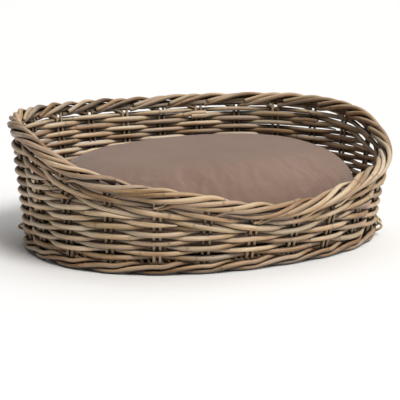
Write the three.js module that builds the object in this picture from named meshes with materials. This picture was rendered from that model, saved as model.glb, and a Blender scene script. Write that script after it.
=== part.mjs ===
// A woven rattan pet bed: an oval basket, low at the front and high at the back and the ends, with a
// loose thick cushion in it. Millimetres, +Z up, origin at the bottom centre, +X along the length,
// the low front towards -Y.
import * as THREE from "three";

// ---- Plan and rim -----------------------------------------------------------------------------

// The plan is an oval a little squarer than an ellipse. Its line is the middle of the wall.
const OVAL_POWER = 2.23;
const FLOOR_HALF_LENGTH = 360;
const FLOOR_HALF_WIDTH = 281;
const RIM_HALF_LENGTH = 383;
const RIM_HALF_WIDTH = 323;

// Height of the rim's top edge against the angle from the middle of the front, in degrees.
const RIM_ANGLES = [0, 30, 60, 85, 110, 180];
const RIM_HEIGHTS = [129, 161, 197, 243, 259, 257];

// ---- Canes ------------------------------------------------------------------------------------

const GAP = 0.7; // left between canes that touch

const PAIR_COUNT = 24; // upright pairs round the oval
const PAIR_SHIFT = 0.35; // from the middle of the front to the first pair, in pair spacings
const UPRIGHT_DIAMETER = 6.6;
const UPRIGHT_PITCH = 10.8; // between the two canes of a pair
const UPRIGHT_BEND_HEIGHT = 11; // where a pair starts to bend into its foot

const WALE_DIAMETER = 9.6;
const WALE_COUNT = 3;
const WALE_LOW = 5.4; // heights of the strands' centre lines
const WALE_HIGH = 16;
const WALE_INSIDE = 13;
const WALE_OVER = 22;
const WALE_PASSING = 12.2;
const WALE_TOP = 27.2;

const WEAVER_DIAMETER = 9;
const WEAVER_SWING = (UPRIGHT_DIAMETER + WEAVER_DIAMETER) / 2 + GAP; // from the wall's middle
const ROW_PITCH = 9.2; // the least between rows, which spread to fill the wall's height
const FULL_ROW_COUNT = 4; // low rows that go right round
const SHORT_ROW_COUNT = 14; // rows that build up the back and the ends
const RIM_ROW_COUNT = 3; // rows that follow the rim right round
const RIM_ROW_PITCH = 10;
const HOLD = 10.5; // a weaver keeps its side for this far each way from a pair's middle
const LONGEST_TAIL = 0.55; // how far a short row runs past its last pair, in pair spacings

const BORDER_STRAND_DIAMETER = 11.8;
const BORDER_TWIST_RADIUS = 10.1; // from the rope's middle to a strand's middle
const BORDER_STRAND_COUNT = 4;
const BORDER_RADIUS = BORDER_TWIST_RADIUS + BORDER_STRAND_DIAMETER / 2;
const BORDER_TURN = 4; // pair spacings for one turn of the rope
const BORDER_CLEARANCE = 1.5; // under the rope, which is steep where the rim slopes

// ---- Base and cushion -------------------------------------------------------------------------

const BASE_INSET = 16; // from the wall's middle to the base's edge
const BASE_THICKNESS = 6;
const HOOP_DIAMETER = 10;
const HOOP_INSET = 21.5;
const STICK_DIAMETER = 7;
const STICK_OFFSETS = [-110, 0, 110];

const CUSHION_HALF_LENGTH = 347;
const CUSHION_HALF_WIDTH = 270;
const CUSHION_BOTTOM = 20.5;
const CUSHION_SEAM_HEIGHT = 85;
const CUSHION_CROWN = 189;
const COVER_THICKNESS = 2;
const COVER_GAP = 0.4;
const CUSHION_SIDES = 36;

// ---- Materials --------------------------------------------------------------------------------

function finish(color, roughness) {
  return new THREE.MeshStandardMaterial({ color, roughness, metalness: 0 });
}

// ---- Places on the wall -----------------------------------------------------------------------

// A place round the oval is a station: 0 at the first pair, 1 at the next, anticlockwise from above.

/** How far an oval of half-axes 1 reaches at an angle, in radians from the middle of the front. */
function ovalReach(angle) {
  const sum = Math.abs(Math.sin(angle)) ** OVAL_POWER + Math.abs(Math.cos(angle)) ** OVAL_POWER;
  return sum ** (-1 / OVAL_POWER);
}

class FloorOval extends THREE.Curve {
  arcLengthDivisions = 1440;

  getPoint(t, target = new THREE.Vector3()) {
    const angle = 2 * Math.PI * t;
    const reach = ovalReach(angle);
    const x = FLOOR_HALF_LENGTH * reach * Math.sin(angle);
    const y = -FLOOR_HALF_WIDTH * reach * Math.cos(angle);
    return target.set(x, y, 0);
  }
}

const floorOval = new FloorOval();
const PAIR_SPACING = floorOval.getLength() / PAIR_COUNT;

/** The angle from the middle of the front at a station, between 0 and a full turn. */
function angleAt(station) {
  const turns = (station + PAIR_SHIFT) / PAIR_COUNT;
  return 2 * Math.PI * floorOval.getUtoTmapping(turns - Math.floor(turns));
}

const rimCurve = new THREE.CubicInterpolant(RIM_ANGLES, RIM_HEIGHTS, 1);
rimCurve.settings = { endingStart: THREE.ZeroSlopeEnding, endingEnd: THREE.ZeroSlopeEnding };

/** The height of the rim's top edge at an angle. */
function rimHeight(angle) {
  const degrees = THREE.MathUtils.radToDeg(angle);
  return rimCurve.evaluate(Math.min(degrees, 360 - degrees))[0];
}

/** A point on the wall at a station and a height, moved outwards from the wall's middle. */
function wallPoint(station, height, outward = 0) {
  const angle = angleAt(station);
  const flare = height / (rimHeight(angle) - BORDER_RADIUS);
  const halfLength = THREE.MathUtils.lerp(FLOOR_HALF_LENGTH, RIM_HALF_LENGTH, flare);
  const halfWidth = THREE.MathUtils.lerp(FLOOR_HALF_WIDTH, RIM_HALF_WIDTH, flare);
  const reach = ovalReach(angle);
  const right = reach * Math.sin(angle);
  const back = -reach * Math.cos(angle);
  const normal = new THREE.Vector3(
    (Math.sign(right) * Math.abs(right) ** (OVAL_POWER - 1)) / halfLength,
    (Math.sign(back) * Math.abs(back) ** (OVAL_POWER - 1)) / halfWidth,
    0,
  ).normalize();
  return new THREE.Vector3(halfLength * right, halfWidth * back, height).addScaledVector(normal, outward);
}

/** The height just under the border rope at a station. */
function borderBottom(station) {
  return rimHeight(angleAt(station)) - 2 * BORDER_RADIUS - BORDER_CLEARANCE;
}

/** The height at a pair that the packed rows may fill, under the rows that follow the rim. */
function packedTop(pair) {
  const hold = HOLD / PAIR_SPACING;
  const lowest = Math.min(borderBottom(pair - hold), borderBottom(pair + hold));
  return lowest - RIM_ROW_COUNT * RIM_ROW_PITCH;
}

/** How many packed rows pass a pair. */
function rowsAt(pair) {
  return Math.floor((packedTop(pair) - WALE_TOP) / ROW_PITCH);
}

/** The height of a row's middle at a station close to a pair. */
function rowHeight(row, pair, station) {
  const packedRows = FULL_ROW_COUNT + SHORT_ROW_COUNT;
  if (row >= packedRows) {
    const below = packedRows + RIM_ROW_COUNT - row - 0.5;
    return borderBottom(station) - below * RIM_ROW_PITCH;
  }
  const pitch = (packedTop(pair) - WALE_TOP) / rowsAt(pair);
  return WALE_TOP + (row + 0.5) * pitch;
}

// ---- Canes along a route ----------------------------------------------------------------------

class Route extends THREE.Curve {
  constructor(points) {
    super();
    this.points = points;
  }

  getPoint(t, target = new THREE.Vector3()) {
    const last = this.points.length - 1;
    const place = THREE.MathUtils.clamp(t, 0, 1) * last;
    const index = Math.min(Math.floor(place), last - 1);
    return target.lerpVectors(this.points[index], this.points[index + 1], place - index);
  }

  // Equal steps of the route are its own points, so an extrusion has a section at each of them.
  getUtoTmapping(u) {
    return u;
  }
}

/** A six-sided cane along a route, with flats above and below where the route is level. */
function cane(points, diameter) {
  const corners = [];
  for (let side = 0; side < 6; side++) {
    const turn = (Math.PI / 3) * (side + 0.5);
    corners.push(new THREE.Vector2(Math.cos(turn), Math.sin(turn)).multiplyScalar(diameter / 2));
  }
  return new THREE.ExtrudeGeometry(new THREE.Shape(corners), {
    steps: points.length - 1,
    extrudePath: new Route(points),
    bevelEnabled: false,
  });
}

/** Two canes side by side, joined by a bend at the foot. */
function uprightPair(index) {
  const half = UPRIGHT_PITCH / 2;
  const route = [];
  const left = index - half / PAIR_SPACING;
  const right = index + half / PAIR_SPACING;
  route.push(wallPoint(left, borderBottom(left)));
  for (let step = 0; step <= 3; step++) {
    const turn = (Math.PI * step) / 3;
    const along = -half * Math.cos(turn);
    const height = UPRIGHT_BEND_HEIGHT - half * Math.sin(turn);
    route.push(wallPoint(index + along / PAIR_SPACING, height));
  }
  route.push(wallPoint(right, borderBottom(right)));
  return cane(route, UPRIGHT_DIAMETER);
}

/** A weaver from one pair to another: outside one pair and inside the next. */
function weaver(first, last, row) {
  const hold = HOLD / PAIR_SPACING;
  const route = [];
  for (let pair = first; pair <= last; pair++) {
    const outward = (pair + row) % 2 === 0 ? WEAVER_SWING : -WEAVER_SWING;
    for (const station of [pair - hold, pair + hold]) {
      route.push(wallPoint(station, rowHeight(row, pair, station), outward));
    }
  }
  return route;
}

/** A row that goes right round, its two ends butting at one pair. */
function fullRow(row) {
  const first = (5 * row) % PAIR_COUNT;
  const last = first + PAIR_COUNT;
  const route = weaver(first, last, row);
  const outward = (first + row) % 2 === 0 ? WEAVER_SWING : -WEAVER_SWING;
  const start = first + GAP / PAIR_SPACING;
  const end = last - GAP / PAIR_SPACING;
  route[0] = wallPoint(start, rowHeight(row, first, start), outward);
  route[route.length - 1] = wallPoint(end, rowHeight(row, last, end), outward);
  return cane(route, WEAVER_DIAMETER);
}

/** Where a short row ends past its last pair, on its way to the next, under the rows along the rim. */
function tailPoints(row, pair, direction) {
  const height = rowHeight(row, pair);
  const climb = rowHeight(row, pair + direction) - height;
  const drop = packedTop(pair) - packedTop(pair + direction);
  const room = packedTop(pair) - height - WEAVER_DIAMETER / 2;
  const share = Math.min(room / (drop + climb), LONGEST_TAIL);
  if (share * PAIR_SPACING < 1.5 * HOLD) return [];
  const outward = (pair + row) % 2 === 0 ? WEAVER_SWING : -WEAVER_SWING;
  const station = pair + direction * share;
  return [wallPoint(station, height + share * climb, outward * Math.cos(Math.PI * share))];
}

/** A row round the back that stops on each side just past the last pair that has room for it. */
function shortRow(row) {
  let first = 0;
  while (rowsAt(first) <= row) first++;
  let last = PAIR_COUNT - 1;
  while (rowsAt(last) <= row) last--;
  const route = [
    ...tailPoints(row, first, -1),
    ...weaver(first, last, row),
    ...tailPoints(row, last, 1),
  ];
  return cane(route, WEAVER_DIAMETER);
}

/** A foot strand: in front of two pairs, low then high, over the others and behind the third. */
function waleStrand(index) {
  const swing = (UPRIGHT_DIAMETER + WALE_DIAMETER) / 2 + GAP;
  const hold = HOLD / PAIR_SPACING;
  const phases = [
    { height: WALE_LOW, outward: swing, next: { height: WALE_PASSING, outward: swing } },
    { height: WALE_HIGH, outward: swing, next: { height: WALE_OVER, outward: 0 } },
    { height: WALE_INSIDE, outward: -swing, next: { height: WALE_LOW, outward: 0 } },
  ];
  const route = [];
  for (let pair = 0; pair < PAIR_COUNT; pair++) {
    const { height, outward, next } = phases[(pair + index) % WALE_COUNT];
    if (pair === 0) route.push(wallPoint(GAP / PAIR_SPACING, height, outward));
    else route.push(wallPoint(pair - hold, height, outward));
    route.push(wallPoint(pair + hold, height, outward));
    route.push(wallPoint(pair + 0.5, next.height, next.outward));
  }
  const { height, outward } = phases[index % WALE_COUNT];
  route.push(wallPoint(PAIR_COUNT - hold, height, outward));
  route.push(wallPoint(PAIR_COUNT - GAP / PAIR_SPACING, height, outward));
  return cane(route, WALE_DIAMETER);
}

/** One strand of the rope round the rim. */
function borderStrand(index) {
  const steps = 2 * PAIR_COUNT;
  const length = PAIR_COUNT - (2 * GAP) / PAIR_SPACING;
  const route = [];
  for (let step = 0; step <= steps; step++) {
    const station = (length * step) / steps;
    const turn = 2 * Math.PI * (station / BORDER_TURN + index / BORDER_STRAND_COUNT);
    const middle = rimHeight(angleAt(station)) - BORDER_RADIUS;
    const point = wallPoint(station, middle, BORDER_TWIST_RADIUS * Math.cos(turn));
    point.z += BORDER_TWIST_RADIUS * Math.sin(turn);
    route.push(point);
  }
  return cane(route, BORDER_STRAND_DIAMETER);
}

// ---- Base -------------------------------------------------------------------------------------

/** The flat oval mat that closes the bottom. */
function baseWeave() {
  const edge = [];
  for (let step = 0; step < 2 * PAIR_COUNT; step++) {
    const { x, y } = wallPoint(step / 2, 0, -BASE_INSET);
    edge.push(new THREE.Vector2(x, y));
  }
  return new THREE.ExtrudeGeometry(new THREE.Shape(edge), { depth: BASE_THICKNESS, bevelEnabled: false });
}

/** The oval rod that lies on the mat's edge, inside the uprights. */
function baseHoop() {
  const height = BASE_THICKNESS + GAP + HOOP_DIAMETER / 2;
  const length = PAIR_COUNT - (2 * GAP) / PAIR_SPACING;
  const route = [];
  for (let step = 0; step <= PAIR_COUNT; step++) {
    route.push(wallPoint((length * step) / PAIR_COUNT, height, -HOOP_INSET));
  }
  return cane(route, HOOP_DIAMETER);
}

/** A stiff rod along the mat, ending just inside the hoop. */
function baseStick(offset) {
  const height = BASE_THICKNESS + GAP + STICK_DIAMETER / 2;
  const halfLength = FLOOR_HALF_LENGTH - HOOP_INSET - HOOP_DIAMETER;
  const halfWidth = FLOOR_HALF_WIDTH - HOOP_INSET - HOOP_DIAMETER;
  const across = Math.abs(offset / halfWidth) ** OVAL_POWER;
  const reach = halfLength * (1 - across) ** (1 / OVAL_POWER);
  return cane(
    [new THREE.Vector3(-reach, offset, height), new THREE.Vector3(reach, offset, height)],
    STICK_DIAMETER,
  );
}

// ---- Cushion ----------------------------------------------------------------------------------

/** A closed body from an outline of [share of the oval's size, height], upwards on the outside. */
function ovalBody(outline) {
  const profile = outline.map(([share, height]) => new THREE.Vector2(share, height));
  const geometry = new THREE.LatheGeometry(profile, CUSHION_SIDES).rotateX(Math.PI / 2);
  const position = geometry.getAttribute("position");
  for (let index = 0; index < position.count; index++) {
    const share = Math.hypot(position.getX(index), position.getY(index));
    const angle = Math.atan2(position.getX(index), -position.getY(index));
    const reach = share * ovalReach(angle);
    const x = CUSHION_HALF_LENGTH * reach * Math.sin(angle);
    const y = -CUSHION_HALF_WIDTH * reach * Math.cos(angle);
    position.setXY(index, x, y);
  }
  return geometry;
}

// The cushion's outer surface: from the middle of its underside to the seam, and on to the crown.
const LOWER_OUTLINE = [
  [0, CUSHION_BOTTOM],
  [0.93, CUSHION_BOTTOM],
  [0.985, CUSHION_BOTTOM + 22],
  [1, CUSHION_SEAM_HEIGHT],
];
const UPPER_OUTLINE = [
  [1, CUSHION_SEAM_HEIGHT + COVER_GAP],
  [0.985, CUSHION_CROWN - 69],
  [0.93, CUSHION_CROWN - 44],
  [0.84, CUSHION_CROWN - 26],
  [0.7, CUSHION_CROWN - 12],
  [0.45, CUSHION_CROWN - 3],
  [0, CUSHION_CROWN],
];

/** An outline moved inwards by a distance, and up or down by a lift. */
function inset(outline, distance, lift) {
  const shrink = distance / CUSHION_HALF_WIDTH;
  return outline.map(([share, height]) => [Math.max(share - shrink, 0), height + lift]);
}

/** The cover's lower panel, a dish up to the seam. */
function coverBase() {
  const inner = inset(LOWER_OUTLINE, COVER_THICKNESS, COVER_THICKNESS).reverse();
  inner[0][1] = CUSHION_SEAM_HEIGHT;
  return ovalBody(LOWER_OUTLINE.concat(inner));
}

/** The cover's upper panel, a dome from just above the seam. */
function coverTop() {
  const inner = inset(UPPER_OUTLINE, COVER_THICKNESS, -COVER_THICKNESS);
  inner[0][1] = CUSHION_SEAM_HEIGHT + COVER_GAP;
  return ovalBody(inner.reverse().concat(UPPER_OUTLINE));
}

/** The filling, just inside both panels. */
function filling() {
  const inwards = COVER_THICKNESS + COVER_GAP;
  const lower = inset(LOWER_OUTLINE, inwards, inwards).slice(0, -1);
  const upper = inset(UPPER_OUTLINE, inwards, -inwards).slice(1);
  return ovalBody(lower.concat(upper));
}

// ---- Assembly ---------------------------------------------------------------------------------

function add(group, name, geometry, material) {
  const mesh = new THREE.Mesh(geometry, material);
  mesh.name = name;
  group.add(mesh);
}

function numbered(stem, index) {
  return `${stem}_${String(index + 1).padStart(2, "0")}`;
}

const basket = new THREE.Group();
add(basket, "base_weave", baseWeave(), finish("#8f7a5f", 0.8));
add(basket, "base_hoop", baseHoop(), finish("#957f63", 0.75));
STICK_OFFSETS.forEach((offset, index) => {
  add(basket, numbered("base_stick", index), baseStick(offset), finish("#957f63", 0.75));
});
for (let index = 0; index < WALE_COUNT; index++) {
  add(basket, numbered("foot_wale_strand", index), waleStrand(index), finish("#8c765c", 0.75));
}
for (let index = 0; index < PAIR_COUNT; index++) {
  add(basket, numbered("upright_pair", index), uprightPair(index), finish("#b39a7a", 0.7));
}
for (let row = 0; row < FULL_ROW_COUNT + SHORT_ROW_COUNT + RIM_ROW_COUNT; row++) {
  const isShort = row >= FULL_ROW_COUNT && row < FULL_ROW_COUNT + SHORT_ROW_COUNT;
  const geometry = isShort ? shortRow(row) : fullRow(row);
  add(basket, numbered("weaver_row", row), geometry, finish("#a58d70", 0.7));
}
for (let index = 0; index < BORDER_STRAND_COUNT; index++) {
  add(basket, numbered("border_strand", index), borderStrand(index), finish("#a8906f", 0.7));
}

const cushion = new THREE.Group();
add(cushion, "cushion_cover_base", coverBase(), finish("#8a7a70", 0.95));
add(cushion, "cushion_cover_top", coverTop(), finish("#96857a", 0.95));
add(cushion, "cushion_filling", filling(), finish("#e6e2da", 1));

const petBed = new THREE.Group();
petBed.add(basket, cushion);

export default petBed;
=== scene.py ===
# An oval wicker pet bed with a loose cushion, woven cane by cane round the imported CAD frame.
# Metres, in the frame's own axes: +X along the basket, the low front towards -Y, +Z up.
import math

import bpy
import numpy as np
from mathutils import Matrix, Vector


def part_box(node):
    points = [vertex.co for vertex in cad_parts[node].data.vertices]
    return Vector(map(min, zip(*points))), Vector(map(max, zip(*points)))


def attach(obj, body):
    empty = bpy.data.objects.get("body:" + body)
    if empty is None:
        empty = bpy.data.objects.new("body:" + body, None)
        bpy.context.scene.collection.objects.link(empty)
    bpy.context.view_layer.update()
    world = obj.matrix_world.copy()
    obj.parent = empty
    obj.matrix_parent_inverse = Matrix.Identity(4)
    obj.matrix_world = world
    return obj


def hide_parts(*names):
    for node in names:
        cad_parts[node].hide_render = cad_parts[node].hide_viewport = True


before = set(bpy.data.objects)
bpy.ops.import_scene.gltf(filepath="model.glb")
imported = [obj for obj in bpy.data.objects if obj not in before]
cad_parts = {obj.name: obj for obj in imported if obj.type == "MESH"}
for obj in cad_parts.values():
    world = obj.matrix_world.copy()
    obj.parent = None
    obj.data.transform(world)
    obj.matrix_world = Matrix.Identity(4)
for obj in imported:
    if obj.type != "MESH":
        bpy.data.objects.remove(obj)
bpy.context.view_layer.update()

# ---- Plan, rim and weave: the CAD model's driving dimensions ----------------------------------

OVAL_POWER = 2.23
FLOOR_HALF_LENGTH = 0.360
FLOOR_HALF_WIDTH = 0.281
RIM_HALF_LENGTH = 0.383
RIM_HALF_WIDTH = 0.323
RIM_ANGLES = (0, 30, 60, 85, 110, 180)  # degrees from the middle of the front
RIM_HEIGHTS = (0.129, 0.161, 0.197, 0.243, 0.259, 0.257)

PAIR_COUNT = sum(name.startswith("upright_pair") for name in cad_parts)
ROW_COUNT = sum(name.startswith("weaver_row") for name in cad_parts)
WALE_COUNT = sum(name.startswith("foot_wale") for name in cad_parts)
STRAND_COUNT = sum(name.startswith("border_strand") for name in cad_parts)

PAIR_SHIFT = 0.35  # from the middle of the front to the first pair, in pair spacings
UPRIGHT_PITCH = 0.0108
UPRIGHT_BEND_HEIGHT = 0.0108
WALE_TOP = 0.0272
FULL_ROW_COUNT = 4
RIM_ROW_COUNT = 3
PACKED_ROW_COUNT = ROW_COUNT - RIM_ROW_COUNT
ROW_PITCH = 0.0092
RIM_ROW_PITCH = 0.010
HOLD = 0.0105  # a cane passes a pair level from this far before it to this far after it
BORDER_RADIUS = 0.016
BORDER_CLEARANCE = 0.0015

# ---- Canes ------------------------------------------------------------------------------------

WEAVER_DIAMETER = 0.0095
WEAVER_SWING = 0.0074  # from the wall's middle to a weaver's middle as it passes a pair
WEAVER_LEAN = 0.0011  # at the back, a weaver passes outside this much lower, and inside higher
BACK_RISE = 0.0009  # how much further apart the rows along the rim are at the back
RIM_ROW_SWELL = 1.05  # the rows along the rim, as a share of what their pitch leaves room for
FRONT_THINNING = 0.13  # how much thinner the weavers are at the middle of the front
TAIL_TIP = 0.0026  # thickness of a short row's slanting cut end
UPRIGHT_DIAMETER = 0.0064
WALE_DIAMETER = 0.0094
BORDER_DIAMETER = 0.0098
STEP = 0.007  # between a cane's sections
SIDES = 12
SPLICE_LIFT = 0.0032  # two canes of one row lie one above the other where they overlap
SPLICE_LAP = 0.2  # half the overlap, in pair spacings
SPLICE_EASE = (0.1, 0.3)  # pair spacings past the overlap, before and while a cane levels out

SEED = 7


# ---- Places on the wall -----------------------------------------------------------------------
# A place round the oval is a station: 0 at the first pair and 1 at the next, anticlockwise.


def spline(places, values, at):
    """A smooth curve through values at rising places, level at both ends."""
    places, values = np.asarray(places, float), np.asarray(values, float)
    slopes = np.diff(values) / np.diff(places)
    tangents = np.concatenate([[0], (slopes[1:] + slopes[:-1]) / 2, [0]])
    left = np.clip(np.searchsorted(places, at, "right") - 1, 0, len(places) - 2)
    width = places[left + 1] - places[left]
    part = np.clip((at - places[left]) / width, 0, 1)
    square, cube = part**2, part**3
    return (
        (2 * cube - 3 * square + 1) * values[left]
        + (cube - 2 * square + part) * width * tangents[left]
        + (3 * square - 2 * cube) * values[left + 1]
        + (cube - square) * width * tangents[left + 1]
    )


def oval_reach(angle):
    """How far an oval of half-axes 1 reaches at an angle from the middle of the front."""
    total = np.abs(np.sin(angle)) ** OVAL_POWER + np.abs(np.cos(angle)) ** OVAL_POWER
    return total ** (-1 / OVAL_POWER)


def measure_floor():
    """Angles round the floor oval, and the length round it to each."""
    angle = np.linspace(0, 2 * np.pi, 2881)
    x = FLOOR_HALF_LENGTH * oval_reach(angle) * np.sin(angle)
    y = FLOOR_HALF_WIDTH * oval_reach(angle) * np.cos(angle)
    steps = np.hypot(np.diff(x), np.diff(y))
    return angle, np.concatenate([[0], np.cumsum(steps)])


FLOOR_ANGLES, FLOOR_LENGTHS = measure_floor()
PAIR_SPACING = FLOOR_LENGTHS[-1] / PAIR_COUNT


def angle_at(station):
    turns = (np.asarray(station, float) + PAIR_SHIFT) / PAIR_COUNT % 1
    return np.interp(turns * FLOOR_LENGTHS[-1], FLOOR_LENGTHS, FLOOR_ANGLES)


def rim_height(station):
    degrees = np.degrees(angle_at(station))
    return spline(RIM_ANGLES, RIM_HEIGHTS, np.minimum(degrees, 360 - degrees))


def wall_points(station, height, outward=0.0):
    """Points at stations and heights, moved outwards from the wall's middle."""
    station, height, outward = np.broadcast_arrays(np.asarray(station, float), height, outward)
    angle = angle_at(station)
    flare = height / (rim_height(station) - BORDER_RADIUS)
    half_length = FLOOR_HALF_LENGTH + (RIM_HALF_LENGTH - FLOOR_HALF_LENGTH) * flare
    half_width = FLOOR_HALF_WIDTH + (RIM_HALF_WIDTH - FLOOR_HALF_WIDTH) * flare
    right = oval_reach(angle) * np.sin(angle)
    back = -oval_reach(angle) * np.cos(angle)
    normal_x = np.sign(right) * np.abs(right) ** (OVAL_POWER - 1) / half_length
    normal_y = np.sign(back) * np.abs(back) ** (OVAL_POWER - 1) / half_width
    size = np.hypot(normal_x, normal_y)
    x = half_length * right + outward * normal_x / size
    y = half_width * back + outward * normal_y / size
    return np.stack([x, y, height], axis=-1)


def border_bottom(station):
    return rim_height(station) - 2 * BORDER_RADIUS - BORDER_CLEARANCE


def back_share(station):
    """0 at the middle of the front, 1 at the middle of the back."""
    return (1 - np.cos(angle_at(station))) / 2


def packed_top(station):
    """The height under the rows that follow the rim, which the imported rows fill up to."""
    return border_bottom(station) - RIM_ROW_COUNT * RIM_ROW_PITCH


def count_rows():
    """How many packed rows pass each pair, from the lowest place that they have close to it."""
    pairs = np.arange(PAIR_COUNT)
    hold = HOLD / PAIR_SPACING
    lowest = np.minimum(packed_top(pairs - hold), packed_top(pairs + hold))
    return np.floor((lowest - WALE_TOP) / ROW_PITCH).astype(int)


ROWS_AT = count_rows()
PITCH_AT = (packed_top(np.arange(PAIR_COUNT)) - WALE_TOP) / ROWS_AT


def row_pitch(station):
    """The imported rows' pitch, which changes evenly from pair to pair."""
    places = np.arange(PAIR_COUNT + 1)
    return np.interp(np.mod(station, PAIR_COUNT), places, np.append(PITCH_AT, PITCH_AT[0]))


def row_height(row, station):
    """The height of a row's middle, and the share of its thickness that fits there."""
    if row >= PACKED_ROW_COUNT:
        height = border_bottom(station) - (ROW_COUNT - row - 0.5) * RIM_ROW_PITCH
        rise = BACK_RISE * (row - PACKED_ROW_COUNT - 0.5)
        thick = np.full_like(height, RIM_ROW_SWELL * RIM_ROW_PITCH / ROW_PITCH)
        return height + rise * back_share(station), thick
    pitch = row_pitch(station)
    bottom = WALE_TOP + row * pitch
    room = np.clip(packed_top(station) - bottom, TAIL_TIP, pitch)
    return bottom + room / 2, room / ROW_PITCH


# ---- Canes as meshes --------------------------------------------------------------------------


def smooth_step(value):
    part = np.clip(value, 0, 1)
    return part * part * (3 - 2 * part)


def wander(rng, along, step, amount):
    """A smooth random curve along a length, which turns about once in every step."""
    knots = rng.normal(0, amount, int(along[-1] / step) + 3)
    place = along / step
    index = place.astype(int)
    share = smooth_step(place - index)
    return knots[index] * (1 - share) + knots[index + 1] * share


def lengths_along(points):
    """How far along a path each of its points is."""
    steps = np.linalg.norm(np.diff(points, axis=0), axis=1)
    return np.concatenate([[0], np.cumsum(steps)])


def frames_along(points):
    """Two directions across a path at each point, turning as little as they can."""
    tangents = np.gradient(points, axis=0)
    tangents /= np.linalg.norm(tangents, axis=1)[:, None]
    across = np.cross(tangents[0], [0.0, 0.0, 1.0])
    if np.linalg.norm(across) < 0.1:
        across = np.cross(tangents[0], [0.0, 1.0, 0.0])
    firsts = []
    for tangent in tangents:
        across = across - tangent * np.dot(across, tangent)
        across = across / np.linalg.norm(across)
        firsts.append(across)
    firsts = np.array(firsts)
    return firsts, np.cross(tangents, firsts)


BEVEL = 0.0005  # from a cut end to the first full section
END_SHARE = 0.86  # thickness of a cut end's rim, as a share of the cane's
KNOT_GAPS = (0.2, 0.45)  # shortest and longest stretch of cane between two knots
KNOT_END_ROOM = 0.01
KNOT_STEPS = np.array([-0.0055, -0.0035, -0.002, -0.0008, 0.0008, 0.002, 0.0035, 0.0055])
KNOT_CLEARANCE = 0.0065  # plain sections keep this far from a knot
KNOT_SWELL = 0.085  # how much thicker a cane is at a knot, as a share
KNOT_WAIST = 0.035  # and how much thinner just past it


def place_knots(rng, length):
    """How far along a cane its knots are."""
    places = []
    place = rng.uniform(0.02, 0.3)
    while place < length - KNOT_END_ROOM:
        places.append(place)
        place += rng.uniform(*KNOT_GAPS)
    return np.array(places)


def place_sections(length, step, knot_places):
    """How far along a cane its sections are, which lie closer together at its knots."""
    inner = np.linspace(BEVEL, length - BEVEL, max(int(length / step), 4))
    if len(knot_places):
        close = np.concatenate([knot + KNOT_STEPS for knot in knot_places])
        close = close[(close > 2 * BEVEL) & (close < length - 2 * BEVEL)]
        distance = np.abs(inner[:, None] - knot_places[None, :]).min(axis=1)
        keep = (distance > KNOT_CLEARANCE) | (inner <= BEVEL) | (inner >= length - BEVEL)
        inner = np.concatenate([inner[keep], close])
    return np.concatenate([[0], np.unique(inner), [length]])


def grow_knots(rng, along, knot_places):
    """A cane's thickness as a share at each section, and how much of a knot is there."""
    swell = 1 + wander(rng, along, 0.045, 0.03) + wander(rng, along, 0.4, 0.03)
    knot = np.zeros(len(along))
    for place in knot_places:
        offset = along - place
        swell = swell + KNOT_SWELL * np.exp(-((offset / 0.0022) ** 2))
        swell = swell - KNOT_WAIST * np.exp(-(((offset - 0.004) / 0.002) ** 2))
        knot = np.maximum(knot, np.exp(-((offset / 0.0026) ** 2)))
    swell[0] *= END_SHARE
    swell[-1] *= END_SHARE
    return swell, knot


def tube_faces(start, sections, sides):
    """Quads between rings of points numbered from start, and a face across each end."""
    index = start + np.arange(sections * sides).reshape(sections, sides)
    following = np.roll(index, -1, axis=1)
    quads = np.stack([index[:-1], following[:-1], following[1:], index[1:]], axis=-1)
    return [*quads.reshape(-1, 4).tolist(), index[0][::-1].tolist(), index[-1].tolist()]


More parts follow.
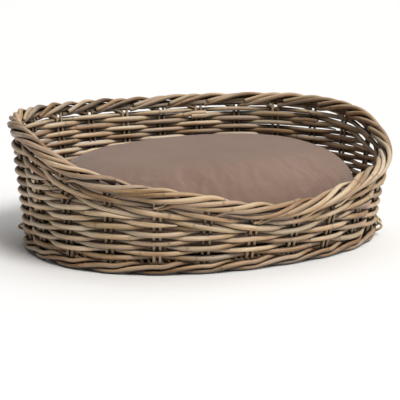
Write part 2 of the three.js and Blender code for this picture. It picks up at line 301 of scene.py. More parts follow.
class CaneWork:
    """Canes gathered into the one mesh of a piece, each with its own tint, knots and cut ends."""

    def __init__(self, seed):
        self.rng = np.random.default_rng([SEED, seed])
        self.points = []
        self.faces = []
        self.layers = {"cane": [], "tone": [], "hue": [], "knot": [], "cut": [], "top": []}
        self.count = 0

    def add(self, path, diameter, share=None, step=STEP, sides=SIDES, knots=True, tone=0.0):
        """A cane along a path, with a share of its diameter at each point, cut at both ends."""
        rng = self.rng
        dense = lengths_along(path)
        length = dense[-1]
        knot_places = place_knots(rng, length if knots else 0)
        along = place_sections(length, step, knot_places)
        points = np.stack([np.interp(along, dense, path[:, axis]) for axis in range(3)], axis=-1)
        swell, knot = grow_knots(rng, along, knot_places)
        if share is not None:
            swell = swell * np.interp(along, dense, share)
        radius = diameter / 2 * swell

        turn = np.arange(sides) * 2 * np.pi / sides
        oval = 1 + rng.uniform(0, 0.06) * np.cos(2 * (turn - rng.uniform(0, np.pi)))
        ring_x = radius[:, None] * (oval * np.cos(turn))[None, :]
        ring_y = radius[:, None] * (oval * np.sin(turn))[None, :]
        first, second = frames_along(points)
        rings = (
            points[:, None, :]
            + ring_x[:, :, None] * first[:, None, :]
            + ring_y[:, :, None] * second[:, None, :]
        )
        sections = len(along)
        self.points.append(rings.reshape(-1, 3))
        self.faces.extend(tube_faces(self.count, sections, sides))
        self.count += sections * sides

        start = rng.uniform(0, 40)
        lengthways = np.repeat((start + along)[:, None], sides, axis=1)
        straight = np.stack([lengthways, ring_x, ring_y], axis=-1)
        cut = np.zeros(sections)
        cut[0] = cut[-1] = 1
        shade = np.clip(rng.normal(0.5 + tone, 0.25), 0, 1)
        # How far each point faces up, for a painted lighter top side and darker underside.
        facing_up = (rings - points[:, None, :])[:, :, 2] / radius[:, None]
        tint = rng.uniform(0, 1)
        self.layers["cane"].append(straight.reshape(-1, 3))
        self.layers["tone"].append(np.full(sections * sides, shade))
        self.layers["hue"].append(np.full(sections * sides, tint))
        self.layers["knot"].append(np.repeat(knot, sides))
        self.layers["cut"].append(np.repeat(cut, sides))
        self.layers["top"].append(facing_up.ravel())

    def piece(self, name, material, body, slot, *replaced):
        """The finished object, riding on a body and standing for CAD nodes."""
        mesh = bpy.data.meshes.new(name)
        mesh.from_pydata(np.concatenate(self.points).tolist(), [], self.faces)
        for layer, parts in self.layers.items():
            values = np.concatenate(parts).astype(np.float32)
            kind, key = ("FLOAT_VECTOR", "vector") if layer == "cane" else ("FLOAT", "value")
            mesh.attributes.new(layer, kind, "POINT").data.foreach_set(key, values.ravel())
        finish_piece(mesh, name, material, body, slot, *replaced)


def finish_piece(mesh, name, material, body, slot, *replaced):
    """An object for the mesh, with smooth sides and sharp cut ends."""
    mesh.shade_smooth()
    mesh.set_sharp_from_angle(angle=math.radians(50))
    mesh.materials.append(material)
    piece = bpy.data.objects.new(name, mesh)
    bpy.context.collection.objects.link(piece)
    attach(piece, body)
    if replaced:
        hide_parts(*replaced)


# ---- Wall -------------------------------------------------------------------------------------

# Places where a low weaver stands proud of the wall: row, station, how far.
PROUD_LOOPS = ((0, 16.5, 0.007), (0, 3.6, 0.005), (1, 3.7, 0.004), (2, 16.7, 0.003))
PROUD_WIDTH = 0.22  # from such a place's middle to where it dies away, in pair spacings
BACK_TIGHTNESS = 0.6  # how much less a weaver strays up and down at the middle of the back


def splice_shift(beyond):
    """How far a cane is moved up or down at a station this far from its end, in pair spacings."""
    start, run = SPLICE_EASE
    return SPLICE_LIFT * (1 - smooth_step((beyond - SPLICE_LAP - start) / run))


def weaver_path(work, row, first, last, lap_first, lap_last):
    """A weaver between two stations, outside one pair and inside the next, lapped at splices."""
    rng = work.rng
    station = np.linspace(first, last, int((last - first) * 14) + 2)
    along = (station - first) * PAIR_SPACING
    wave = np.cos(np.pi * (station + row))
    outward = WEAVER_SWING * wave * (1.3 - 0.3 * wave**2)
    height, share = row_height(row, station)
    height = height - WEAVER_LEAN * wave * back_share(station)
    if lap_first:
        height = height + splice_shift(station - first)
    if lap_last:
        height = height - splice_shift(last - station)
    for loop_row, place, proud in PROUD_LOOPS:
        if loop_row == row:
            gap = (station - place + PAIR_COUNT / 2) % PAIR_COUNT - PAIR_COUNT / 2
            outward = outward + proud * np.exp(-((gap / PROUD_WIDTH) ** 2))
    looseness = share * (1 - BACK_TIGHTNESS * back_share(station))
    height = height + looseness * wander(rng, along, 0.1, 0.0006)
    outward = outward + wander(rng, along, 0.09, 0.0008)
    thinned = share * (1 - FRONT_THINNING * (1 - back_share(station)))
    return wall_points(station, height, outward), thinned


def splice_places(work, row, first, last):
    """Pairs that the row passes inside of where one of its canes gives way to the next."""
    places = []
    place = first + work.rng.uniform(8, 13)
    while place < last - 4:
        inside = int(place)
        if (inside + row) % 2 == 0:
            inside += 1
        places.append(inside)
        place = inside + work.rng.uniform(9, 14)
    return places


def row_ends(row):
    """The first and last stations of a row: a full row starts and ends at one inside pair."""
    if row < FULL_ROW_COUNT or row >= PACKED_ROW_COUNT:
        start = 5 * row % PAIR_COUNT
        if (start + row) % 2 == 0:
            start += 1
        return start, start + PAIR_COUNT, True
    present = np.flatnonzero(ROWS_AT > row)
    return present[0], present[-1], False


def tail_length(row, pair, direction):
    """How far a short row runs past its last pair before the rows along the rim pinch it out."""
    steps = np.linspace(0.05, 0.95, 46)
    station = pair + direction * steps
    room = packed_top(station) - WALE_TOP - row * row_pitch(station)
    return steps[np.argmax(room < TAIL_TIP)] if (room < TAIL_TIP).any() else steps[-1]


def weave_row(row, material):
    """A row's canes: a ring with no open end, or a short row with a slanting tail at each end."""
    work = CaneWork(100 + row)
    first, last, is_ring = row_ends(row)
    splices = splice_places(work, row, first, last)
    if is_ring:
        stops = [first, *splices, last]
        starts = [place - SPLICE_LAP for place in stops[:-1]]
        ends = [place + SPLICE_LAP for place in stops[1:]]
    else:
        starts = [first - tail_length(row, first, -1), *[place - SPLICE_LAP for place in splices]]
        ends = [*[place + SPLICE_LAP for place in splices], last + tail_length(row, last, 1)]
    for index, (start, end) in enumerate(zip(starts, ends)):
        lap_first = is_ring or index > 0
        lap_last = is_ring or index < len(starts) - 1
        path, share = weaver_path(work, row, start, end, lap_first, lap_last)
        work.add(path, WEAVER_DIAMETER * work.rng.uniform(1.0, 1.1), share)
    node = f"weaver_row_{row + 1:02d}"
    work.piece(f"{node}_canes", material, "basket", "weaver_cane", node)


UPRIGHT_END = 0.012  # how far an upright runs on into the border


def stand_pair(pair, material):
    """One cane bent double at the foot: both uprights of a pair."""
    work = CaneWork(200 + pair)
    rng = work.rng
    half = UPRIGHT_PITCH / 2
    top = border_bottom(pair) + UPRIGHT_END
    climb = np.linspace(0, 1, 24)
    bend = np.linspace(0, np.pi, 13)[1:-1]
    sides = []
    for side in (-1, 1):
        sway = wander(rng, climb, 0.45, 0.0007)
        station = pair + (side * half + sway * climb) / PAIR_SPACING
        height = UPRIGHT_BEND_HEIGHT + (top - UPRIGHT_BEND_HEIGHT) * climb
        outward = wander(rng, climb, 0.4, 0.0003)
        sides.append(wall_points(station, height, outward))
    foot = wall_points(
        pair - half * np.cos(bend) / PAIR_SPACING, UPRIGHT_BEND_HEIGHT - half * np.sin(bend)
    )
    path = np.concatenate([sides[0][::-1], foot, sides[1]])
    work.add(path, UPRIGHT_DIAMETER * rng.uniform(0.95, 1.05), step=0.0035, tone=0.05)
    node = f"upright_pair_{pair + 1:02d}"
    work.piece(f"{node}_canes", material, "basket", "upright_cane", node)


# ---- Foot wale --------------------------------------------------------------------------------

# A strand's height and side at a pair, and halfway to the next one, as it passes low in front of
# the first pair, high in front of the second, and behind the third.
WALE_SWING = 0.0088
WALE_STEPS = (
    ((0.0053, WALE_SWING), (0.0118, WALE_SWING + 0.0006)),
    ((0.0162, WALE_SWING), (0.0216, 0.0)),
    ((0.0130, -WALE_SWING), (0.0052, 0.0)),
)
WALE_SPLICES = np.array([0, 9, 18, PAIR_COUNT])  # pairs from a strand's first inside one
WALE_GAP = 0.02  # from the pair to each cane's end, in pair spacings
WALE_FLOOR_GAP = 0.0007


def wale_strand(index, material):
    """A foot strand in three canes, which meet where the strand passes inside a pair."""
    work = CaneWork(300 + index)
    hold = HOLD / PAIR_SPACING
    places, heights, sides = [], [], []
    for pair in range(-2, PAIR_COUNT + 4):
        at_pair, halfway = WALE_STEPS[(pair + index) % WALE_COUNT]
        for place, (height, side) in (
            (pair - hold, at_pair),
            (pair + hold, at_pair),
            (pair + 0.5, halfway),
        ):
            places.append(place)
            heights.append(height)
            sides.append(side)
    inside = (2 - index) % WALE_COUNT
    stops = inside + WALE_SPLICES
    for first, last in zip(stops[:-1] + WALE_GAP, stops[1:] - WALE_GAP):
        station = np.linspace(first, last, int((last - first) * 16))
        along = (station - station[0]) * PAIR_SPACING
        wrapped = np.where(station > PAIR_COUNT + 1, station - PAIR_COUNT, station)
        height = spline(places, heights, wrapped) + wander(work.rng, along, 0.12, 0.0003)
        outward = spline(places, sides, wrapped) + wander(work.rng, along, 0.1, 0.0003)
        height = np.maximum(height, WALE_DIAMETER / 2 + WALE_FLOOR_GAP)
        path = wall_points(station, height, outward)
        work.add(path, WALE_DIAMETER * work.rng.uniform(0.96, 1.03), tone=-0.05)
    node = f"foot_wale_strand_{index + 1:02d}"
    work.piece(f"{node}_canes", material, "basket", "wale_cane", node)


FOOT_LOOPS = (  # station, lowest height, rise, reach, half the width in pair spacings
    (3.62, 0.006, 0.026, 0.024, 0.06),
    (3.80, 0.014, 0.024, 0.021, 0.05),
    (16.5, 0.026, 0.020, 0.019, 0.05),
)
FOOT_LOOP_DIAMETER = 0.0052


def foot_loops(material):
    """Thin canes that bend out of the wall and back in, low at both ends of the basket."""
    work = CaneWork(350)
    for station, height, rise, reach, half_width in FOOT_LOOPS:
        turn = np.linspace(-0.25, np.pi + 0.25, 30)
        path = wall_points(
            station - half_width * np.cos(turn),
            height + rise * turn / np.pi,
            reach * np.sin(turn),
        )
        work.add(path, FOOT_LOOP_DIAMETER, step=0.003, knots=False)
    work.piece("foot_loop_canes", material, "basket", "weaver_cane")


# ---- Border -----------------------------------------------------------------------------------

BORDER_REACH = 2.9  # pair spacings that a bundle runs
BORDER_FROM = math.radians(-85)  # round the rope, from outwards and then up
BORDER_TOP_END = math.radians(112)  # where a bundle's shorter cane is cut off, at the front
BORDER_TO = math.radians(228)
BORDER_RING = 0.0094  # from the rope's middle to a cane's middle
BORDER_CREST = 0.0032  # how much further out a cane is on top of the rope
BORDER_CREST_TURN = 1.5
BORDER_CREST_WIDTH = 0.9
BORDER_FLARE = 0.003  # how far a cut end may spring away from the rope
BORDER_FLARE_RUN = 0.12  # last share of a cane's way that springs away
SHORT_END_RATE = 1.6  # how soon towards the back the shorter cane gets as long as the other
BORDER_CURL = 1.4  # the power by which a bundle's roll quickens along its length
BORDER_SPREAD = 0.55  # from a bundle's middle to each of its canes, in diameters
BORDER_START = 0.006  # how far under the rope a bundle starts
BORDER_LEAVING = 0.4  # pair spacings in which it rises to the rope
BORDER_THIN_FOOT = 0.6  # a cane's thickness where it starts, as a share
BORDER_THICKENING = 0.5  # pair spacings to its full thickness
CORE_COUNT = 3
CORE_DIAMETER = 0.0098
CORE_RING = 0.0036  # from the core's middle to a core cane's middle
CORE_DROP = 0.004  # from the rope's middle down to the core's middle


def border_bundle(work, pair):
    """Two canes that rise out of the wall at a pair, roll over the rope and are cut off inside."""
    rng = work.rng
    spread = BORDER_DIAMETER * BORDER_SPREAD / BORDER_RING
    back = back_share(pair + BORDER_REACH)
    longer = smooth_step(back * SHORT_END_RATE)
    short_end = BORDER_TOP_END + (BORDER_TO - BORDER_TOP_END) * longer
    for side, last_turn in ((-1, BORDER_TO), (1, short_end)):
        last_turn = last_turn + rng.uniform(-0.2, 0.1)
        last = ((last_turn - BORDER_FROM) / (BORDER_TO - BORDER_FROM)) ** (1 / BORDER_CURL)
        part = np.linspace(0, last, 70)
        station = pair - 0.04 + side * 0.04 + part * BORDER_REACH
        along = part * BORDER_REACH * PAIR_SPACING
        turn = BORDER_FROM + (BORDER_TO - BORDER_FROM) * part**BORDER_CURL
        turn = turn + side * spread * (0.8 + 0.25 * np.sin(np.pi * part))
        turn = turn + wander(rng, along, 0.09, 0.17)
        crest = np.exp(-(((turn - BORDER_CREST_TURN) / BORDER_CREST_WIDTH) ** 2))
        springing = smooth_step((part - last + BORDER_FLARE_RUN) / BORDER_FLARE_RUN)
        flare = rng.uniform(0.0, BORDER_FLARE) * springing
        ring = BORDER_RING + BORDER_CREST * crest + wander(rng, along, 0.09, 0.0009) + flare
        out = ring * np.cos(turn)
        up = ring * np.sin(turn)
        leave = 1 - smooth_step(part * BORDER_REACH / BORDER_LEAVING)
        out = out * (1 - leave)
        up = up * (1 - leave) - (BORDER_RADIUS + BORDER_START) * leave
        path = wall_points(station, rim_height(station) - BORDER_RADIUS, out)
        path[:, 2] += up
        grown = smooth_step(part * BORDER_REACH / BORDER_THICKENING)
        thickness = BORDER_THIN_FOOT + (1 - BORDER_THIN_FOOT) * grown
        work.add(path, BORDER_DIAMETER * rng.uniform(0.88, 1.1), thickness, tone=0.02)


def border_core(material):
    """Canes inside the rope that the bundles roll over."""
    work = CaneWork(450)
    for index in range(CORE_COUNT):
        station = np.linspace(index * 8.1, index * 8.1 + PAIR_COUNT - 0.03, 260)
        turn = 2 * np.pi * (station / 7 + index / CORE_COUNT)
        out = CORE_RING * np.cos(turn)
        path = wall_points(station, rim_height(station) - BORDER_RADIUS, out)
        path[:, 2] += CORE_RING * np.sin(turn) - CORE_DROP
        work.add(path, CORE_DIAMETER, sides=8, tone=-0.5)
    work.piece("border_core_canes", material, "basket", "border_cane")


def border_strand(index, material):
    """Every fourth bundle of the rope."""
    work = CaneWork(400 + index)
    for pair in range(index, PAIR_COUNT, STRAND_COUNT):
        border_bundle(work, pair)
    node = f"border_strand_{index + 1:02d}"
    work.piece(f"{node}_canes", material, "basket", "border_cane", node)


# ---- Base -------------------------------------------------------------------------------------

BASE_CANE_DIAMETER = 0.0052
BASE_CANE_PITCH = 0.0062
MAT_INSET = 0.006  # from the wall's middle to the ends of the mat's canes
HOOP_INSET = 0.0215
HOOP_HEIGHT = 0.0117
HOOP_DIAMETER = 0.0094
HOOP_CLEARANCE = 0.006  # from the hoop's middle to a stick's end
HOOP_REACH = 0.004  # inwards from the hoop's middle, where the mat's canes are at their lowest
STICK_HEIGHT = 0.0102
STICK_SPACING = 0.055
STICK_OFFSETS = (-0.11, 0, 0.11)
STICK_DIAMETER = 0.0066
THIN_STICK_OFFSETS = (-0.22, -0.165, -0.055, 0.055, 0.165, 0.22)
THIN_STICK_DIAMETER = 0.0054
MAT_SWING = 0.0062  # from a stick's middle to a cane's middle as it passes over or under
MAT_TOP = 0.0176  # highest that a cane's middle comes, clear of the cushion
MAT_EDGE_HEIGHT = 0.0033  # a cane's middle where it runs under the hoop
MAT_EDGE_RUN = 0.014  # in which a cane comes down to that height
MAT_END_GAP = 0.006  # from the mat's end to its first and last canes


def base_half(reach_length, inset):
    """Half the base's width where it is reach_length from the middle of its length."""
    half_length = FLOOR_HALF_LENGTH - inset
    half_width = FLOOR_HALF_WIDTH - inset
    share = np.clip(1 - np.abs(reach_length / half_length) ** OVAL_POWER, 0, 1)
    return half_width * share ** (1 / OVAL_POWER)


def stick_half(offset):
    """Half the length of a stick that lies inside the hoop at an offset across the base."""
    half_length = FLOOR_HALF_LENGTH - HOOP_INSET - HOOP_CLEARANCE
    half_width = FLOOR_HALF_WIDTH - HOOP_INSET - HOOP_CLEARANCE
    return half_length * (1 - abs(offset / half_width) ** OVAL_POWER) ** (1 / OVAL_POWER)


def stick_path(offset):
    half = stick_half(offset)
    share = np.linspace(0, 1, 60)[:, None]
    left = np.array([-half, offset, STICK_HEIGHT])
    right = np.array([half, offset, STICK_HEIGHT])
    return left * (1 - share) + right * share


def lay_sticks(material):
    for number, offset in enumerate(STICK_OFFSETS):
        work = CaneWork(500 + number)
        work.add(stick_path(offset), STICK_DIAMETER)
        node = f"base_stick_{number + 1:02d}"
        work.piece(f"{node}_cane", material, "basket", "base_cane", node)


def weave_base(material):
    """The mat: thin sticks along it, and canes across, over one stick and under the next."""
    weave = CaneWork(520)
    for offset in THIN_STICK_OFFSETS:
        weave.add(stick_path(offset), THIN_STICK_DIAMETER, sides=8)
    limit = FLOOR_HALF_LENGTH - MAT_INSET - MAT_END_GAP
    count = int(2 * limit / BASE_CANE_PITCH)
    for number in range(count):
        x = -limit + (number + 0.5) * 2 * limit / count
        half = float(base_half(x, MAT_INSET))
        hoop = float(base_half(x, HOOP_INSET + HOOP_REACH))
        y = np.linspace(-half, half, max(int(2 * half / 0.008), 8))
        wave = np.cos(np.pi * (y / STICK_SPACING + number))
        height = STICK_HEIGHT + MAT_SWING * wave * (1.25 - 0.25 * wave**2)
        height = np.clip(height, BASE_CANE_DIAMETER * 0.55, MAT_TOP)
        under_hoop = smooth_step((np.abs(y) - hoop + MAT_EDGE_RUN) / MAT_EDGE_RUN)
        height = height * (1 - under_hoop) + MAT_EDGE_HEIGHT * under_hoop
        path = np.stack([np.full(len(y), x), y, height], axis=-1)
        diameter = BASE_CANE_DIAMETER * weave.rng.uniform(0.92, 1.02)
        weave.add(path, diameter, step=0.008, sides=8, knots=False)
    weave.piece("base_weave_canes", material, "basket", "base_cane", "base_weave")


def bend_hoop(material):
    """One rod bent round the base, whose ends nearly meet."""
    work = CaneWork(540)
    station = np.linspace(0, PAIR_COUNT - 0.02, 300)
    path = wall_points(station, HOOP_HEIGHT, -HOOP_INSET)
    work.add(path, HOOP_DIAMETER)
    work.piece("base_hoop_cane", material, "basket", "base_cane", "base_hoop")


# ---- Cushion ----------------------------------------------------------------------------------

CUSHION_SWELL = 0.010  # how far the simulation may move the fabric
CUSHION_LEAN = 0.006  # how much higher the top is at the right end, and lower at the left
CUSHION_SIDE_ROOM = 0.007  # inside the CAD cushion's outline
CUSHION_TOP_ROOM = 0.006
CUSHION_FOOT_ROOM = 0.0015
SEAM_LIFT = 0.38  # share of the cushion's height
SEAM_DEPTH = 0.0045
FOLD_DEPTH = 0.0011
FOLD_COUNTS = (17, 23, 31, 44, 59)  # folds round the cushion, of five widths laid together
DENT_DEPTH = 0.0011
CUSHION_OUTLINE = (  # share of the half-widths, share of the height, from the bottom up
    (0.80, 0.0),
    (0.90, 0.02),
    (0.962, 0.10),
    (0.985, 0.24),
    (0.99, 0.38),
    (0.985, 0.50),
    (0.965, 0.62),
    (0.92, 0.745),
    (0.84, 0.86),
    (0.70, 0.935),
    (0.45, 0.985),
)


def cushion_box():
    """The lowest and highest corners of the CAD cushion's two panels together."""
    low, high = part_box("cushion_cover_base")
    top_low, top_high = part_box("cushion_cover_top")
    return Vector(map(min, low, top_low)), Vector(map(max, high, top_high))


def cushion_shell(low, high):
    """A closed oval loft, a little inside the CAD cushion so that it can swell."""
    half_length = high.x - CUSHION_SIDE_ROOM
    half_width = high.y - CUSHION_SIDE_ROOM
    bottom = low.z + CUSHION_FOOT_ROOM
    depth = high.z - CUSHION_TOP_ROOM - bottom
    around = 96
    angle = np.arange(around) * 2 * np.pi / around
    reach = oval_reach(angle)
    points = [(0.0, 0.0, bottom)]
    faces = []
    rings = []
    for share, lift in CUSHION_OUTLINE:
        rings.append(len(points) + np.arange(around))
        x = share * half_length * reach * np.sin(angle)
        y = -share * half_width * reach * np.cos(angle)
        z = np.full(around, bottom + lift * depth)
        points.extend(zip(x.tolist(), y.tolist(), z.tolist()))
    points.append((0.0, 0.0, bottom + depth))
    for index in range(around):
        following = (index + 1) % around
        faces.append((0, int(rings[0][following]), int(rings[0][index])))
        for below, above in zip(rings, rings[1:]):
            corners = (below[index], below[following], above[following], above[index])
            faces.append(tuple(map(int, corners)))
        faces.append((int(rings[-1][index]), int(rings[-1][following]), len(points) - 1))
    mesh = bpy.data.meshes.new("cushion_shell")
    mesh.from_pydata(points, [], faces)
    return mesh


def apply_modifiers(piece):
    """The piece's mesh with its modifiers applied, in place."""
    graph = bpy.context.evaluated_depsgraph_get()
    mesh = bpy.data.meshes.new_from_object(piece.evaluated_get(graph), depsgraph=graph)
    piece.modifiers.clear()
    piece.data = mesh


def vertex_array(mesh):
    points = np.empty(len(mesh.vertices) * 3)
    mesh.vertices.foreach_get("co", points)
    return points.reshape(-1, 3)


def inflate(piece):
    """Swells the fabric with a cloth simulation, and limits how far each point moves."""
    before = vertex_array(piece.data)
    cloth = piece.modifiers.new("Cloth", "CLOTH")
    settings = cloth.settings
    settings.quality = 5
    settings.mass = 0.3
    settings.use_pressure = True
    settings.uniform_pressure_force = 4
    settings.tension_stiffness = 20
    settings.compression_stiffness = 20
    settings.shear_stiffness = 8
    settings.bending_stiffness = 0.3
    settings.effector_weights.gravity = 0
    cloth.collision_settings.use_self_collision = False
    scene = bpy.context.scene
    for number in range(1, 21):
        scene.frame_set(number)
    apply_modifiers(piece)
    scene.frame_set(1)
    after = vertex_array(piece.data)
    move = after - before
    size = np.linalg.norm(move, axis=1)
    soft = CUSHION_SWELL * np.tanh(size / CUSHION_SWELL)
    move *= (soft / np.maximum(size, 1e-9))[:, None]
    piece.data.vertices.foreach_set("co", (before + move).ravel())
    piece.data.update()


def crease_cushion(mesh, low, high):
    """The seam round the side, the small folds that run into it, and soft dents in the top."""
    points = vertex_array(mesh)
    x, y, z = points.T
    angle = np.arctan2(x / high.x, -y / high.y)
    seam_height = low.z + SEAM_LIFT * (high.z - low.z)
    off_seam = z - seam_height
    edge = np.hypot(x / high.x, y / high.y)
    rng = np.random.default_rng([SEED, 900])
    folds = sum(
        rng.uniform(0.3, 1) * np.cos(number * angle + rng.uniform(0, 2 * np.pi))
        for number in FOLD_COUNTS
    )
    inward = SEAM_DEPTH * np.exp(-((off_seam / 0.004) ** 2))
    inward = inward + FOLD_DEPTH * folds * np.exp(-((off_seam / 0.022) ** 2))
    length = np.maximum(np.hypot(x, y), 1e-6)
    side = smooth_step((edge - 0.6) / 0.3)
    points[:, 0] -= side * inward * x / length
    points[:, 1] -= side * inward * y / length
    dents = sum(
        rng.uniform(0.4, 1)
        * np.cos(rng.uniform(6, 17) * x + rng.uniform(0, 6))
        * np.cos(rng.uniform(6, 17) * y + rng.uniform(0, 6))
        for _ in range(7)
    )
    on_top = smooth_step((off_seam - 0.02) / 0.03)
    points[:, 2] += on_top * (DENT_DEPTH * dents + CUSHION_LEAN * points[:, 0] / high.x)
    points[:, 2] = np.clip(points[:, 2], low.z + 0.0005, high.z + 0.002)
    mesh.vertices.foreach_set("co", points.ravel())
    mesh.update()


def sew_cushion(material):
    """The cushion, remeshed evenly so that the simulation can swell it, then creased."""
    low, high = cushion_box()
    mesh = cushion_shell(low, high)
    piece = bpy.data.objects.new("cushion", mesh)
    bpy.context.collection.objects.link(piece)
    remesh = piece.modifiers.new("Remesh", "REMESH")
    remesh.mode = "VOXEL"
    remesh.voxel_size = 0.006
    apply_modifiers(piece)
    inflate(piece)
    subdivision = piece.modifiers.new("Subdivision", "SUBSURF")
    subdivision.levels = subdivision.render_levels = 1
    apply_modifiers(piece)
    crease_cushion(piece.data, low, high)
    piece.data.shade_smooth()
    piece.data.materials.clear()
    piece.data.materials.append(material)
    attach(piece, "cushion")
    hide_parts("cushion_cover_base", "cushion_cover_top", "cushion_filling")


# ---- Materials --------------------------------------------------------------------------------

# Colours are linear. The skin of the cane goes from dark to pale.
BLACK = (0.0, 0.0, 0.0)
WHITE = (1.0, 1.0, 1.0)
# Painted shade: the colour that canes darken to where they are closed in.
CANE_CREVICE_SHADE = (0.008, 0.005, 0.002)
CANE_DARK = (0.036, 0.019, 0.007)
CANE_BROWN = (0.175, 0.092, 0.036)
CANE_TAN = (0.365, 0.218, 0.106)
CANE_BEIGE = (0.560, 0.390, 0.228)
CANE_PALE = (0.780, 0.630, 0.450)
CANE_GREY = (0.450, 0.382, 0.300)
CANE_OLIVE = (0.255, 0.182, 0.064)
CANE_PINK = (0.470, 0.278, 0.182)
PITH_DARK = (0.20, 0.13, 0.075)
PITH_PALE = (0.56, 0.44, 0.30)
CLOTH_DARK = (0.212, 0.128, 0.092)
CLOTH_MIDDLE = (0.228, 0.143, 0.105)
CLOTH_PALE = (0.246, 0.160, 0.120)
CLOTH_LINT = (0.42, 0.34, 0.30)
CLOTH_WEFT = (0.12, 0.08, 0.065)
CLOTH_SHADOW = (0.022, 0.013, 0.009)
THREAD_SCALE = 260


class Nodes:
    """Short names for building one material's nodes."""

    def __init__(self, name):
        self.material = bpy.data.materials.new(name)
        self.material.use_nodes = True
        self.tree = self.material.node_tree
        self.shader = self.tree.nodes["Principled BSDF"]

    def new(self, kind, **settings):
        node = self.tree.nodes.new(kind)
        for key, value in settings.items():
            setattr(node, key, value)
        return node

    def link(self, source, target):
        self.tree.links.new(source, target)

    def attribute(self, name):
        return self.new("ShaderNodeAttribute", attribute_name=name)

    def math(self, operation, first, second=None, third=None, clamp=False):
        node = self.new("ShaderNodeMath", operation=operation, use_clamp=clamp)
        for socket, value in zip(node.inputs, (first, second, third)):
            if isinstance(value, (int, float)):
                socket.default_value = value
            elif value is not None:
                self.link(value, socket)
        return node.outputs[0]

    def stretch(self, vector, scale):
        node = self.new("ShaderNodeMapping")
        node.inputs["Scale"].default_value = scale
        self.link(vector, node.inputs["Vector"])
        return node.outputs[0]

    def noise(self, vector, scale, detail=3.0, roughness=0.5):
        node = self.new("ShaderNodeTexNoise")
        node.inputs["Scale"].default_value = scale
        node.inputs["Detail"].default_value = detail
        node.inputs["Roughness"].default_value = roughness
        self.link(vector, node.inputs["Vector"])
        return node.outputs["Fac"]

    def ramp(self, value, stops):
        node = self.new("ShaderNodeValToRGB")
        elements = node.color_ramp.elements
        while len(elements) < len(stops):
            elements.new(0.5)
        for element, (place, colour) in zip(elements, stops):
            element.position = place
            element.color = (*colour, 1)
        self.link(value, node.inputs["Fac"])
        return node.outputs["Color"]

    def mix(self, share, first, second):
        """A share of the second colour over the first, which are links or fixed colours."""
        node = self.new("ShaderNodeMix", data_type="RGBA")
        self.link(share, node.inputs["Factor"])
        colours = [socket for socket in node.inputs if socket.type == "RGBA"]
        for socket, value in zip(colours, (first, second)):
            if isinstance(value, tuple):
                socket.default_value = (*value, 1)
            else:
                self.link(value, socket)
        return next(socket for socket in node.outputs if socket.type == "RGBA")

    def crevice_shade(self, distance, full, none):
        """A mask for painted shade: 1 where nearly everything within a distance is closed in, 0
        where it is open.
        """
        node = self.new("ShaderNodeAmbientOcclusion", samples=6)
        node.inputs["Distance"].default_value = distance
        return self.ramp(node.outputs["AO"], [(full, WHITE), (none, BLACK)])

    def bump(self, height, strength, distance):
        node = self.new("ShaderNodeBump")
        node.inputs["Strength"].default_value = strength
        node.inputs["Distance"].default_value = distance
        self.link(height, node.inputs["Height"])
        self.link(node.outputs["Normal"], self.shader.inputs["Normal"])


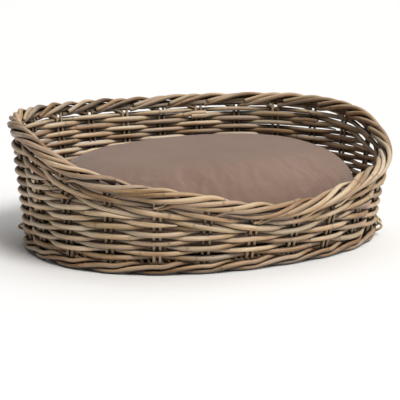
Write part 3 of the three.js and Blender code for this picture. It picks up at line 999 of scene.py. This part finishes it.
def cane_material(name, lightness):
    """Dry cane skin: stains, streaks along the fibres, specks, dark knots and pithy cut ends, with
    painted shade in crevices and a painted lighter top side.
    """
    nodes = Nodes(name)
    place = nodes.attribute("cane").outputs["Vector"]
    tone = nodes.attribute("tone").outputs["Fac"]
    hue = nodes.attribute("hue").outputs["Fac"]
    knot = nodes.attribute("knot").outputs["Fac"]
    cut = nodes.attribute("cut").outputs["Fac"]
    top = nodes.attribute("top").outputs["Fac"]

    stains = nodes.noise(nodes.stretch(place, (9, 60, 60)), 1.0, 3, 0.6)
    streaks = nodes.noise(nodes.stretch(place, (22, 900, 900)), 1.0, 4, 0.6)
    fibres = nodes.noise(nodes.stretch(place, (60, 3600, 3600)), 1.0, 3, 0.6)
    patches = nodes.noise(nodes.stretch(place, (4, 20, 20)), 1.0, 2, 0.5)

    shade = nodes.math("MULTIPLY_ADD", tone, 0.7, -0.42)
    shade = nodes.math("MULTIPLY_ADD", stains, 1.15, shade)
    shade = nodes.math("MULTIPLY_ADD", streaks, 0.7, nodes.math("SUBTRACT", shade, 0.35))
    # Painted light: the side of a cane that faces up is lighter, and its underside darker.
    shade = nodes.math("MULTIPLY_ADD", top, 0.20, shade)
    shade = nodes.math("ADD", shade, lightness, clamp=True)
    skin = nodes.ramp(
        shade,
        [
            (0.0, CANE_DARK),
            (0.25, CANE_BROWN),
            (0.5, CANE_TAN),
            (0.74, CANE_BEIGE),
            (1.0, CANE_PALE),
        ],
    )
    weathered = nodes.ramp(patches, [(0.46, BLACK), (0.66, WHITE)])
    skin = nodes.mix(nodes.math("MULTIPLY", weathered, 0.7), skin, CANE_GREY)
    olive = nodes.ramp(hue, [(0.0, (0.55, 0.55, 0.55)), (0.28, BLACK)])
    skin = nodes.mix(nodes.math("MULTIPLY", olive, stains), skin, CANE_OLIVE)
    pink = nodes.ramp(hue, [(0.72, BLACK), (1.0, (0.6, 0.6, 0.6))])
    skin = nodes.mix(nodes.math("MULTIPLY", pink, stains), skin, CANE_PINK)

    speckle = nodes.noise(nodes.stretch(place, (260, 420, 420)), 1.0, 2, 0.6)
    specks = nodes.ramp(speckle, [(0.64, BLACK), (0.72, (0.7, 0.7, 0.7))])
    skin = nodes.mix(specks, skin, CANE_DARK)
    skin = nodes.mix(nodes.math("MULTIPLY", knot, 0.42), skin, CANE_DARK)
    pith = nodes.noise(nodes.stretch(place, (1, 2200, 2200)), 1.0, 2, 0.5)
    end_grain = nodes.ramp(pith, [(0.4, PITH_DARK), (0.62, PITH_PALE)])
    skin = nodes.mix(cut, skin, end_grain)
    # Painted shade: darker where the canes are closed in, in the gaps between them.
    skin = nodes.mix(nodes.crevice_shade(0.03, 0.27, 0.70), skin, CANE_CREVICE_SHADE)
    nodes.link(skin, nodes.shader.inputs["Base Color"])

    rough = nodes.math("MULTIPLY_ADD", streaks, 0.3, 0.30)
    nodes.link(rough, nodes.shader.inputs["Roughness"])
    nodes.shader.inputs["Specular IOR Level"].default_value = 0.5
    relief = nodes.math("MULTIPLY_ADD", fibres, 0.6, nodes.math("MULTIPLY", streaks, 0.8))
    nodes.bump(relief, 0.55, 0.0006)
    return nodes.material


def fabric_material():
    """The cushion's plain woven cover: a fine thread grid, faded patches and lint, with painted
    shade where it is closed in.
    """
    nodes = Nodes("cushion_cotton")
    place = nodes.new("ShaderNodeTexCoord").outputs["Object"]
    threads = []
    for axis in "XYZ":
        wave = nodes.new("ShaderNodeTexWave", wave_type="BANDS", bands_direction=axis)
        wave.inputs["Scale"].default_value = THREAD_SCALE
        wave.inputs["Distortion"].default_value = 0.6
        wave.inputs["Detail"].default_value = 1
        nodes.link(place, wave.inputs["Vector"])
        threads.append(wave.outputs["Fac"])
    grid = nodes.math("ADD", nodes.math("ADD", threads[0], threads[1]), threads[2])
    patches = nodes.noise(place, 5.5, 3, 0.55)
    lint = nodes.noise(place, 420, 2, 0.6)
    cloth = nodes.ramp(patches, [(0.3, CLOTH_DARK), (0.5, CLOTH_MIDDLE), (0.72, CLOTH_PALE)])
    cloth = nodes.mix(nodes.math("MULTIPLY", lint, 0.22), cloth, CLOTH_LINT)
    weft = nodes.math("MULTIPLY_ADD", grid, -0.05, 0.12, clamp=True)
    cloth = nodes.mix(weft, cloth, CLOTH_WEFT)
    # Painted shade: the fabric darkens where it is closed in, along the wall.
    cloth = nodes.mix(nodes.crevice_shade(0.04, 0.10, 0.55), cloth, CLOTH_SHADOW)
    nodes.link(cloth, nodes.shader.inputs["Base Color"])
    nodes.shader.inputs["Roughness"].default_value = 0.92
    nodes.shader.inputs["Specular IOR Level"].default_value = 0.15
    nodes.shader.inputs["Sheen Weight"].default_value = 0.25
    nodes.shader.inputs["Sheen Roughness"].default_value = 0.5
    relief = nodes.math("MULTIPLY_ADD", lint, 0.7, nodes.math("MULTIPLY", grid, 0.5))
    nodes.bump(relief, 0.35, 0.0006)
    return nodes.material


def floor_material():
    nodes = Nodes("studio_floor")
    nodes.shader.inputs["Base Color"].default_value = (0.93, 0.93, 0.93, 1)
    nodes.shader.inputs["Roughness"].default_value = 0.9
    nodes.shader.inputs["Specular IOR Level"].default_value = 0.1
    return nodes.material


# ---- Floor, light and camera ------------------------------------------------------------------

CAMERA_AZIMUTH = math.radians(-28.2)
CAMERA_ELEVATION = math.radians(10.6)
CAMERA_DISTANCE = 2.364
CAMERA_TARGET = Vector((0, 0, 0.12))
CAMERA_LENS = 102.3
CAMERA_SHIFT = (-0.0065, -0.0538)
FLOOR_HALF_SIZE = 30
HORIZON_LIGHT = 0.85
CEILING_LIGHT = 0.13


def add_floor():
    mesh = bpy.data.meshes.new("studio_floor")
    size = FLOOR_HALF_SIZE
    corners = [(-size, -size, 0), (size, -size, 0), (size, size, 0), (-size, size, 0)]
    mesh.from_pydata(corners, [], [(0, 1, 2, 3)])
    mesh.materials.append(floor_material())
    floor = bpy.data.objects.new("studio_floor", mesh)
    bpy.context.collection.objects.link(floor)


def add_sun(name, towards, angle, strength, colour):
    """A wide soft light that is as strong everywhere, shining from a direction."""
    sun = bpy.data.lights.new(name, "SUN")
    sun.energy = strength
    sun.angle = math.radians(angle)
    sun.color = colour
    item = bpy.data.objects.new(name, sun)
    item.rotation_euler = Vector(towards).to_track_quat("Z", "Y").to_euler()
    bpy.context.collection.objects.link(item)


def add_light():
    """A white horizon all round, a dim ceiling, and three soft lights."""
    world = bpy.data.worlds.new("studio")
    world.use_nodes = True
    tree = world.node_tree
    place = tree.nodes.new("ShaderNodeTexCoord")
    split = tree.nodes.new("ShaderNodeSeparateXYZ")
    ramp = tree.nodes.new("ShaderNodeValToRGB")
    tree.links.new(place.outputs["Generated"], split.inputs["Vector"])
    tree.links.new(split.outputs["Z"], ramp.inputs["Fac"])
    tree.links.new(ramp.outputs["Color"], tree.nodes["Background"].inputs["Color"])
    horizon, ceiling = ramp.color_ramp.elements
    horizon.position, ceiling.position = 0.03, 0.07
    horizon.color = (HORIZON_LIGHT, HORIZON_LIGHT, HORIZON_LIGHT, 1)
    ceiling.color = (CEILING_LIGHT, CEILING_LIGHT, CEILING_LIGHT, 1)
    bpy.context.scene.world = world
    add_sun("key", (0.2, -0.82, 1.1), 24, 2.1, (1.0, 0.985, 0.96))
    add_sun("right", (0.55, -0.85, 0.95), 60, 0.95, (1.0, 0.985, 0.965))
    add_sun("top", (0.3, 0.35, 1.0), 60, 0.85, (1.0, 1.0, 1.0))


def add_camera():
    """A long lens that looks down a little on the low front, from the left."""
    back = Vector(
        (
            math.sin(CAMERA_AZIMUTH) * math.cos(CAMERA_ELEVATION),
            -math.cos(CAMERA_AZIMUTH) * math.cos(CAMERA_ELEVATION),
            math.sin(CAMERA_ELEVATION),
        )
    )
    data = bpy.data.cameras.new("camera")
    data.lens = CAMERA_LENS
    data.sensor_width = 36
    data.shift_x, data.shift_y = CAMERA_SHIFT
    camera = bpy.data.objects.new("camera", data)
    camera.location = CAMERA_TARGET + back * CAMERA_DISTANCE
    camera.rotation_euler = (-back).to_track_quat("-Z", "Y").to_euler()
    bpy.context.collection.objects.link(camera)
    bpy.context.scene.camera = camera


# ---- Assembly ---------------------------------------------------------------------------------


def build():
    add_camera()
    add_floor()
    add_light()
    bpy.context.scene.view_settings.view_transform = "Standard"
    upright = cane_material("upright_cane", -0.04)
    weaver = cane_material("weaver_cane", 0.10)
    wale = cane_material("wale_cane", -0.03)
    border = cane_material("border_cane", -0.06)
    base = cane_material("base_cane", -0.05)
    for pair in range(PAIR_COUNT):
        stand_pair(pair, upright)
    for row in range(ROW_COUNT):
        weave_row(row, weaver)
    for index in range(WALE_COUNT):
        wale_strand(index, wale)
    foot_loops(weaver)
    for index in range(STRAND_COUNT):
        border_strand(index, border)
    border_core(border)
    lay_sticks(base)
    weave_base(base)
    bend_hoop(base)
    sew_cushion(fabric_material())


build()
